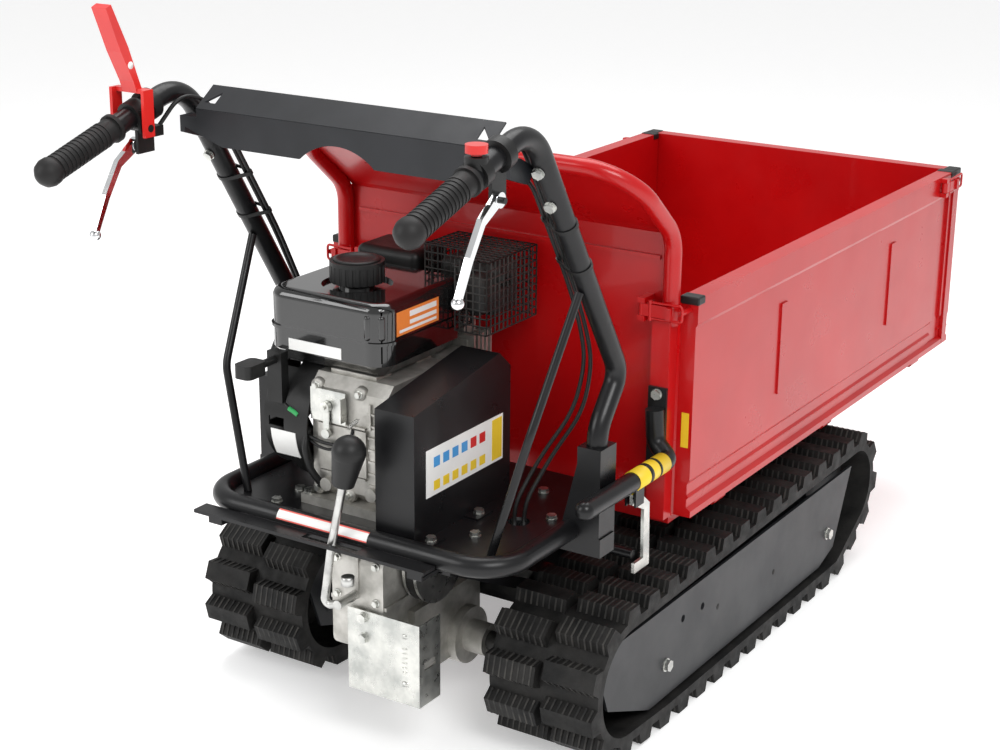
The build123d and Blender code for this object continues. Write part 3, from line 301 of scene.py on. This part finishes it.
def lug_crowns():
    """Crown of every lug, as (lowest Y, middle X, middle Z) to its outward normal."""
    mesh = NODES["rubber_tracks"].data
    crowns = {}
    for face in mesh.polygons:
        area = face.area / MM ** 2
        if abs(area - LUG_LENGTH * LUG_WIDTH / 2) > 20 or abs(face.normal.y) > 0.1:
            continue
        xs, ys, zs = zip(*(mesh.vertices[i].co for i in face.vertices))
        if abs(max(ys) - min(ys) - LUG_WIDTH * MM) > MM:
            continue
        key = (min(ys), (max(xs) + min(xs)) / 2, (max(zs) + min(zs)) / 2)
        crowns[tuple(round(value, 3) for value in key)] = face.normal.copy()
    return crowns


def track_ribs():
    """Thin moulded ribs on every lug of both tracks."""
    bm = bmesh.new()
    for (low, x, z), normal in lug_crowns().items():
        out = Vector((normal.x, 0, normal.z)).normalized()
        along = Vector((out.z, 0, -out.x))
        for k in range(RIBS):
            middle = low + (RIB_FIRST + k * RIB_PITCH) * MM
            skin(bm, [[bm.verts.new(Vector((x, y, z)) + (along * u + out * v) * MM)
                       for u, v in RIB_OUTLINE]
                      for y in (middle - RIB_HALF * MM, middle + RIB_HALF * MM)])
    piece("track_ribs", bm, SCUFF, "chassis")


track_ribs()


# ---------------------------------------------------------------- hand grips
BEND, BAR_END = Vector((-391, 0, 947)), Vector((-640, 0, 868))
GRIP_RUN = (BAR_END - BEND).normalized()


def grip_point(distance, y):
    """Point on the axis of a handlebar, this far behind its bend, in drawing millimetres."""
    spot = BEND + GRIP_RUN * distance
    return (spot.x, y, spot.z)


for side, y in (("left", 285), ("right", -285)):
    bm = bmesh.new()
    for i in range(13):
        near, far = grip_point(166 + i * 7.6, y), grip_point(169.4 + i * 7.6, y)
        add_rod(bm, mm(*near), mm(*far), 18.0, 40)
    piece(f"grip_ribs_{side}", bm, GRIP, "chassis")
    lathe(f"grip_end_{side}", grip_point(262, y), GRIP_RUN,
          [(0, 17.2), (4, 19.2), (12, 19.6), (20, 17), (26, 11), (29, 4)], GRIP, "chassis")

# ---------------------------------------------------------------- load box trim
for end, x0, x1 in (("rear", 2, 24), ("front", 1040, 1061.5)):
    for side, y0, y1 in (("right", -331.5, -300.5), ("left", 300.5, 331.5)):
        box_piece(f"rail_cap_{side}_{end}", (x0, y0, 628), (x1, y1, 640.5), PLASTIC,
                  f"side_{side}", 2.5)
for name, y0, y1 in (("front_cap_right", -331, -306), ("front_cap_left", 306, 331)):
    box_piece(name, (1060.5, y0, 629), (1091.5, y1, 640.5), PLASTIC, "front_panel",
              2.5)
box_piece("edge_label", (3.3, -322, 408), (4.2, -310, 462), YELLOW, "side_right")


# ---------------------------------------------------------------- labels
def arc_patch(name, centre, radius, span, y0, y1, look):
    """Thin label round a cylinder along Y: span is two angles from the rear (-X) towards +Z."""
    rows, thickness = 14, 0.9
    bm = bmesh.new()
    grid = []
    for i in range(rows + 1):
        angle = math.radians(span[0] + (span[1] - span[0]) * i / rows)
        grid.append([bm.verts.new(mm(centre[0] - size * math.cos(angle), y,
                                     centre[1] + size * math.sin(angle)))
                     for size, y in ((radius, y0), (radius, y1), (radius - thickness, y1),
                                     (radius - thickness, y0))])
    skin(bm, grid)
    piece(name, bm, look, "chassis")


def swatches(z0, z1, places):
    """Plain colour squares in a row on the belt cover label."""
    return [((-348 + i * 23, -109.0, z0), (-333 + i * 23, -108.5, z1)) for i in places]


box_piece("cover_label", (-366, -108.7, 403), (-171, -107.8, 473), WHITE, "chassis")
flat_blocks("cover_label_yellow",
            [((-200, -109.0, 407), (-174, -108.5, 469))] + swatches(410, 424, range(6)),
            YELLOW, "chassis")
flat_blocks("cover_label_blue", swatches(444, 459, range(4)), BLUE, "chassis")
flat_blocks("cover_label_red", swatches(444, 459, (4, 5)), RED_PLASTIC, "chassis")
for name, radius, span, ink in (("deck_label", 15.6, (6, 66), WHITE),
                                ("deck_label_edge_top", 15.9, (58, 66), PINK),
                                ("deck_label_edge_low", 15.9, (6, 13), PINK)):
    arc_patch(name, (-411, 343), radius, span, -49, 110, ink)
box_piece("tank_label", (-336.0, 58, 567), (-334.5, 152, 583.5), WHITE, "chassis")
box_piece("tank_side_label", (-303, -15.9, 605), (-200, -14.5, 640), ORANGE, "chassis")
flat_blocks("tank_side_label_text",
            [((-272, -16.2, 628), (-206, -15.6, 636)), ((-272, -16.2, 617), (-206, -15.6, 623)),
             ((-297, -16.2, 609), (-206, -15.6, 613))], WHITE, "chassis")
arc_patch("recoil_label", (-255, 455), 100.8, (-29, -4), 129, 174, WHITE)
for name, x, length, inner, outer, look in (("tip_sleeve", -158, 90, 14.0, 15.2, YELLOW),
                                            ("tip_sleeve_band", -128, 9, 15.0, 15.5, PLASTIC),
                                            ("tip_sleeve_band_front", -100, 6, 15.0, 15.5, PLASTIC)):
    lathe(name, (x, -318, 407), (1, 0, 0),
          [(0, inner), (0.2, outer), (length, outer), (length + 0.2, inner)], look, "load_box")


# ---------------------------------------------------------------- tank, recoil and engine wiring
def flute(name, x, y):
    """Upright pressed ridge with domed ends on the upper half of the tank."""
    low, high, radius, steps = 602, 640, 5.5, 8
    angles = [math.pi / 2 * i / steps for i in range(steps + 1)]
    dome = [(radius * (1 - math.cos(angle)), max(radius * math.sin(angle), 0.2))
            for angle in angles]
    profile = dome + [(high - low - along, size) for along, size in reversed(dome)]
    lathe(name, (x, y, low), (0, 0, 1), profile, GLOSS, "chassis", 24)


flute("tank_flute_rear", -332.5, 13)
flute("tank_flute_corner", -324, -4.5)
lathe("cap_centre", (-250, 92, 689.6), (0, 0, 1),
      [(0, 35), (2.6, 34), (3.6, 31), (3.6, 27), (1.6, 25), (1.2, 10), (1.2, 1)], PLASTIC,
      "fuel_cap", 48)
WIRING = (
    ("engine_hose", 5.5, PLASTIC, [(-338, 116, 452), (-348, 114, 446), (-356, 110, 428),
                                   (-355, 104, 402), (-349, 96, 384), (-342, 90, 372)]),
    ("stop_wire", 1.6, PLASTIC, [(-338, 158, 492), (-350, 150, 488), (-352, 136, 481),
                                 (-352, 124, 475), (-352, 115, 462), (-346, 112, 448)]),
    ("stop_connector", 3.4, GREEN, [(-352, 142, 483), (-352, 134, 480), (-352, 126, 476)]),
    ("governor_wire", 2.6, PLASTIC, [(-347, 114, 448), (-350, 98, 445), (-351, 78, 443),
                                     (-350, 58, 444), (-348, 38, 452), (-345, 32, 470)]),
    ("governor_wire_low", 2.2, PLASTIC, [(-347, 108, 440), (-351, 92, 436), (-351, 74, 434),
                                         (-350, 56, 437), (-347, 44, 430), (-343, 40, 414)]),
)
for name, radius, look, points in WIRING:
    wire(name, points, radius, look, "chassis")


def spring(name, start, end, radius, turns, gauge, look):
    """Coil spring between two points of the working drawing, with straight ends."""
    begin, finish = Vector(start), Vector(end)
    a, b = across((finish - begin).normalized())
    steps = turns * 8
    points = [start]
    for i in range(steps + 1):
        angle = math.pi / 4 * i
        spot = begin + (finish - begin) * (0.12 + 0.76 * i / steps)
        points.append(tuple(spot + (a * math.cos(angle) + b * math.sin(angle)) * radius))
    wire(name, points + [end], gauge, look, "chassis")


spring("governor_spring", (-352, 38, 472), (-352, 16, 492), 2.8, 6, 0.6, STEEL)


def recoil_rope():
    """Starter rope from its guide towards the grip, in short straight pieces."""
    y, z, first, pitch, count = 167, 552, -338, 2, 8
    bm = bmesh.new()
    for i in range(count):
        add_rod(bm, mm(first - pitch * i, y, z), mm(first - pitch * (i + 1), y, z), 2.0, 12)
    made = piece("recoil_rope", bm, DARK, None)
    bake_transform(made)


recoil_rope()


# ---------------------------------------------------------------- casting details
BACK = (-1, 0, 0)


def bolt(name, x, y, z, boss=None):
    """Flanged hexagon bolt pointing to the rear, with a cast boss under it if asked."""
    size, height = 5, 3
    if boss:
        lathe(f"{name}_boss", (x, y, z), BACK, [(-6, boss + 2), (0, boss + 1), (height, boss)],
              CAST, "chassis", 28)
        x -= height
    lathe(f"{name}_flange", (x, y, z), BACK, [(-1, size * 1.25), (1, size * 1.25), (1.6, size)],
          ZINC, "chassis", 28)
    bm = bmesh.new()
    add_rod(bm, mm(x, y, z), mm(x - 5.5, y, z), size, 6)
    add_rod(bm, mm(x, y, z), mm(x - 6.3, y, z), size * 0.78, 24)
    piece(name, bm, ZINC, "chassis")


for i, (y, z) in enumerate(((22, 524), (98, 524), (98, 368), (43, 366))):
    bolt(f"case_bolt_{i}", -340, y, z, boss=9)
flat_blocks("case_ribs",
            [((-344, y, 474), (-338, y + 4, 512)) for y in (2, 88)]
            + [((-344.5, 12, z), (-338, 93, z + 3)) for z in (395, 472)]
            + [((-343, -20, 388 + i * 18), (-338, 8, 391 + i * 18)) for i in range(7)],
            CAST, "chassis")
flat_blocks("case_side_ribs",
            [((-326 + i * 24, 107, 372), (-322 + i * 24, 111, 440)) for i in range(2)],
            CAST, "chassis")
for i, (y, z) in enumerate(((-38, 292), (30, 292), (30, 236), (-38, 236))):
    bolt(f"gearbox_bolt_{i}", -390, y, z)
flat_blocks("gearbox_seam",
            [((-300, -53, 152), (-296, 43, 306.5)), ((-391.5, -8, 236), (-388, -4, 304))],
            CAST, "chassis")

# ---------------------------------------------------------------- gearbox end
lathe("gear_rod_bush", (-446, -31.0, 284), (0, 0, 1),
      [(0, 8.5), (0.5, 9.5), (13, 9.5), (13.5, 8.5)], STEEL, "gear_lever", 28)
spring("guard_spring", (-391, -92, 190), (-391, -92, 132), 6.5, 6, 1.3, ZINC)
lathe("guard_spring_bolt", (-391, -92, 124), (0, 0, 1),
      [(0, 9), (6, 9), (6.2, 4), (74, 4), (74.2, 8), (80, 8)], ZINC, "chassis", 6)

# ---------------------------------------------------------------- track plate holes, sticker
for name, x, z in (("plate_hole_rear", 93, 121), ("plate_hole_front", 299, 103)):
    for side, y, way in (("right", -341.2, 1), ("left", 341.2, -1)):
        lathe(f"{name}_{side}", (x, y, z), (0, way, 0), [(0, 4.6), (0.3, 5.2), (1.5, 5.2)], TRACK,
              "chassis", 24)
lathe("clutch_sticker", (-503.5, 272.3, 985), (0, -1, 0), [(0, 5), (0.8, 5)], WHITE, "clutch_lever",
      32)


# ---------------------------------------------------------------- silencer guard
def guard_wires():
    """Ends of every wire of the silencer cage, which is L-shaped in plan."""
    x0, x1, y0, y1, z0, z1 = -166, -30, -76, 64, 582, 690
    step_x, step_y = -119, -21
    across_x, across_y, across_z = 12, 12, 9
    wires = []
    for i in range(across_x + 1):
        x = x0 + (x1 - x0) * i / across_x
        back = y1 if x > step_x + 1 else step_y
        wires += [((x, y0, z0), (x, y0, z1)), ((x, y0, z1), (x, back, z1)),
                  ((x, back, z0), (x, back, z1))]
    for j in range(across_y + 1):
        y = y0 + (y1 - y0) * j / across_y
        start = x0 if y < step_y + 1 else step_x
        wires += [((start, y, z1), (x1, y, z1)), ((x1, y, z0), (x1, y, z1)),
                  ((start, y, z0), (start, y, z1))]
    for k in range(across_z + 1):
        z = z0 + (z1 - z0) * k / across_z
        plan = ((x0, y0), (x1, y0), (x1, y1), (step_x, y1), (step_x, step_y), (x0, step_y))
        wires += [((*one, z), (*two, z)) for one, two in zip(plan, plan[1:] + plan[:1])]
    return wires


def guard():
    """Welded wire cage on its stay, in place of the plain sheet."""
    bm = bmesh.new()
    for start, end in guard_wires():
        add_rod(bm, mm(*start), mm(*end), 1.3, 6)
    add_rod(bm, mm(-100, 34, 566), mm(-100, 62, 584), 3, 6)
    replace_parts(piece("guard_wires", bm, DARK, "chassis"), "muffler_guard")


guard()


# ---------------------------------------------------------------- stage, light and camera
def area_light(name, spot, target, size, power):
    """Soft box aimed at a point."""
    data = bpy.data.lights.new(name, "AREA")
    data.shape = "RECTANGLE"
    data.size, data.size_y = size
    data.energy = power
    made = bpy.data.objects.new(name, data)
    made.location = spot
    made.rotation_euler = (Vector(target) - Vector(spot)).to_track_quat("-Z", "Y").to_euler()
    bpy.context.scene.collection.objects.link(made)


def pale_floor():
    """Wide sheet of white paper just under the tracks."""
    reach, drop = 40, -0.0006
    mesh = bpy.data.meshes.new("floor")
    mesh.from_pydata([(-reach, -reach, drop), (reach, -reach, drop), (reach, reach, drop),
                      (-reach, reach, drop)], [], [(0, 1, 2, 3)])
    paper = surface("floor_paper", (0.86, 0.86, 0.86), (0.88, 0.88, 0.88), (0.7, 0.8), grain=60,
                    strength=0.02)
    shader = paper.node_tree.nodes["Principled BSDF"]
    shader.inputs["Emission Color"].default_value = (1, 1, 1, 1)
    shader.inputs["Emission Strength"].default_value = 0.36
    mesh.materials.append(paper)
    floor = bpy.data.objects.new("floor", mesh)
    bpy.context.scene.collection.objects.link(floor)


def studio_world():
    """Even white surroundings."""
    world = bpy.data.worlds.new("studio")
    world.use_nodes = True
    background = world.node_tree.nodes["Background"]
    background.inputs["Color"].default_value = (1, 1, 1, 1)
    background.inputs["Strength"].default_value = 0.62
    bpy.context.scene.world = world


def add_camera(eye, yaw, pitch, roll, lens):
    """Camera at a point in metres: yaw from +X towards +Y, pitch down, angles in degrees."""
    yaw, pitch, roll = math.radians(yaw), math.radians(pitch), math.radians(roll)
    data = bpy.data.cameras.new("camera")
    data.sensor_width = 36.0
    data.lens = lens
    data.clip_end = 100
    forward = Vector((math.cos(yaw) * math.cos(pitch), math.sin(yaw) * math.cos(pitch),
                      -math.sin(pitch)))
    right = forward.cross(Vector((0, 0, 1))).normalized()
    up = right.cross(forward)
    turn = Matrix.Rotation(roll, 3, forward)
    basis = Matrix((turn @ right, turn @ up, -forward)).transposed()
    made = bpy.data.objects.new("camera", data)
    made.matrix_world = Matrix.Translation(eye) @ basis.to_4x4()
    bpy.context.scene.collection.objects.link(made)
    bpy.context.scene.camera = made


bpy.context.scene.view_settings.view_transform = "Standard"
pale_floor()
studio_world()
area_light("key", (-2.2, -2.6, 3.2), (0, 0, 0.5), (1.8, 1.4), 75)
area_light("fill", (-3.0, 1.8, 2.0), (0, 0, 0.5), (1.6, 1.6), 35)
area_light("top", (0.6, 0.3, 3.4), (0.2, 0, 0.4), (3.0, 2.0), 75)
add_camera(mm(-2376, -1510, 1395), yaw=32.54, pitch=18.31, roll=-0.49, lens=68.66)
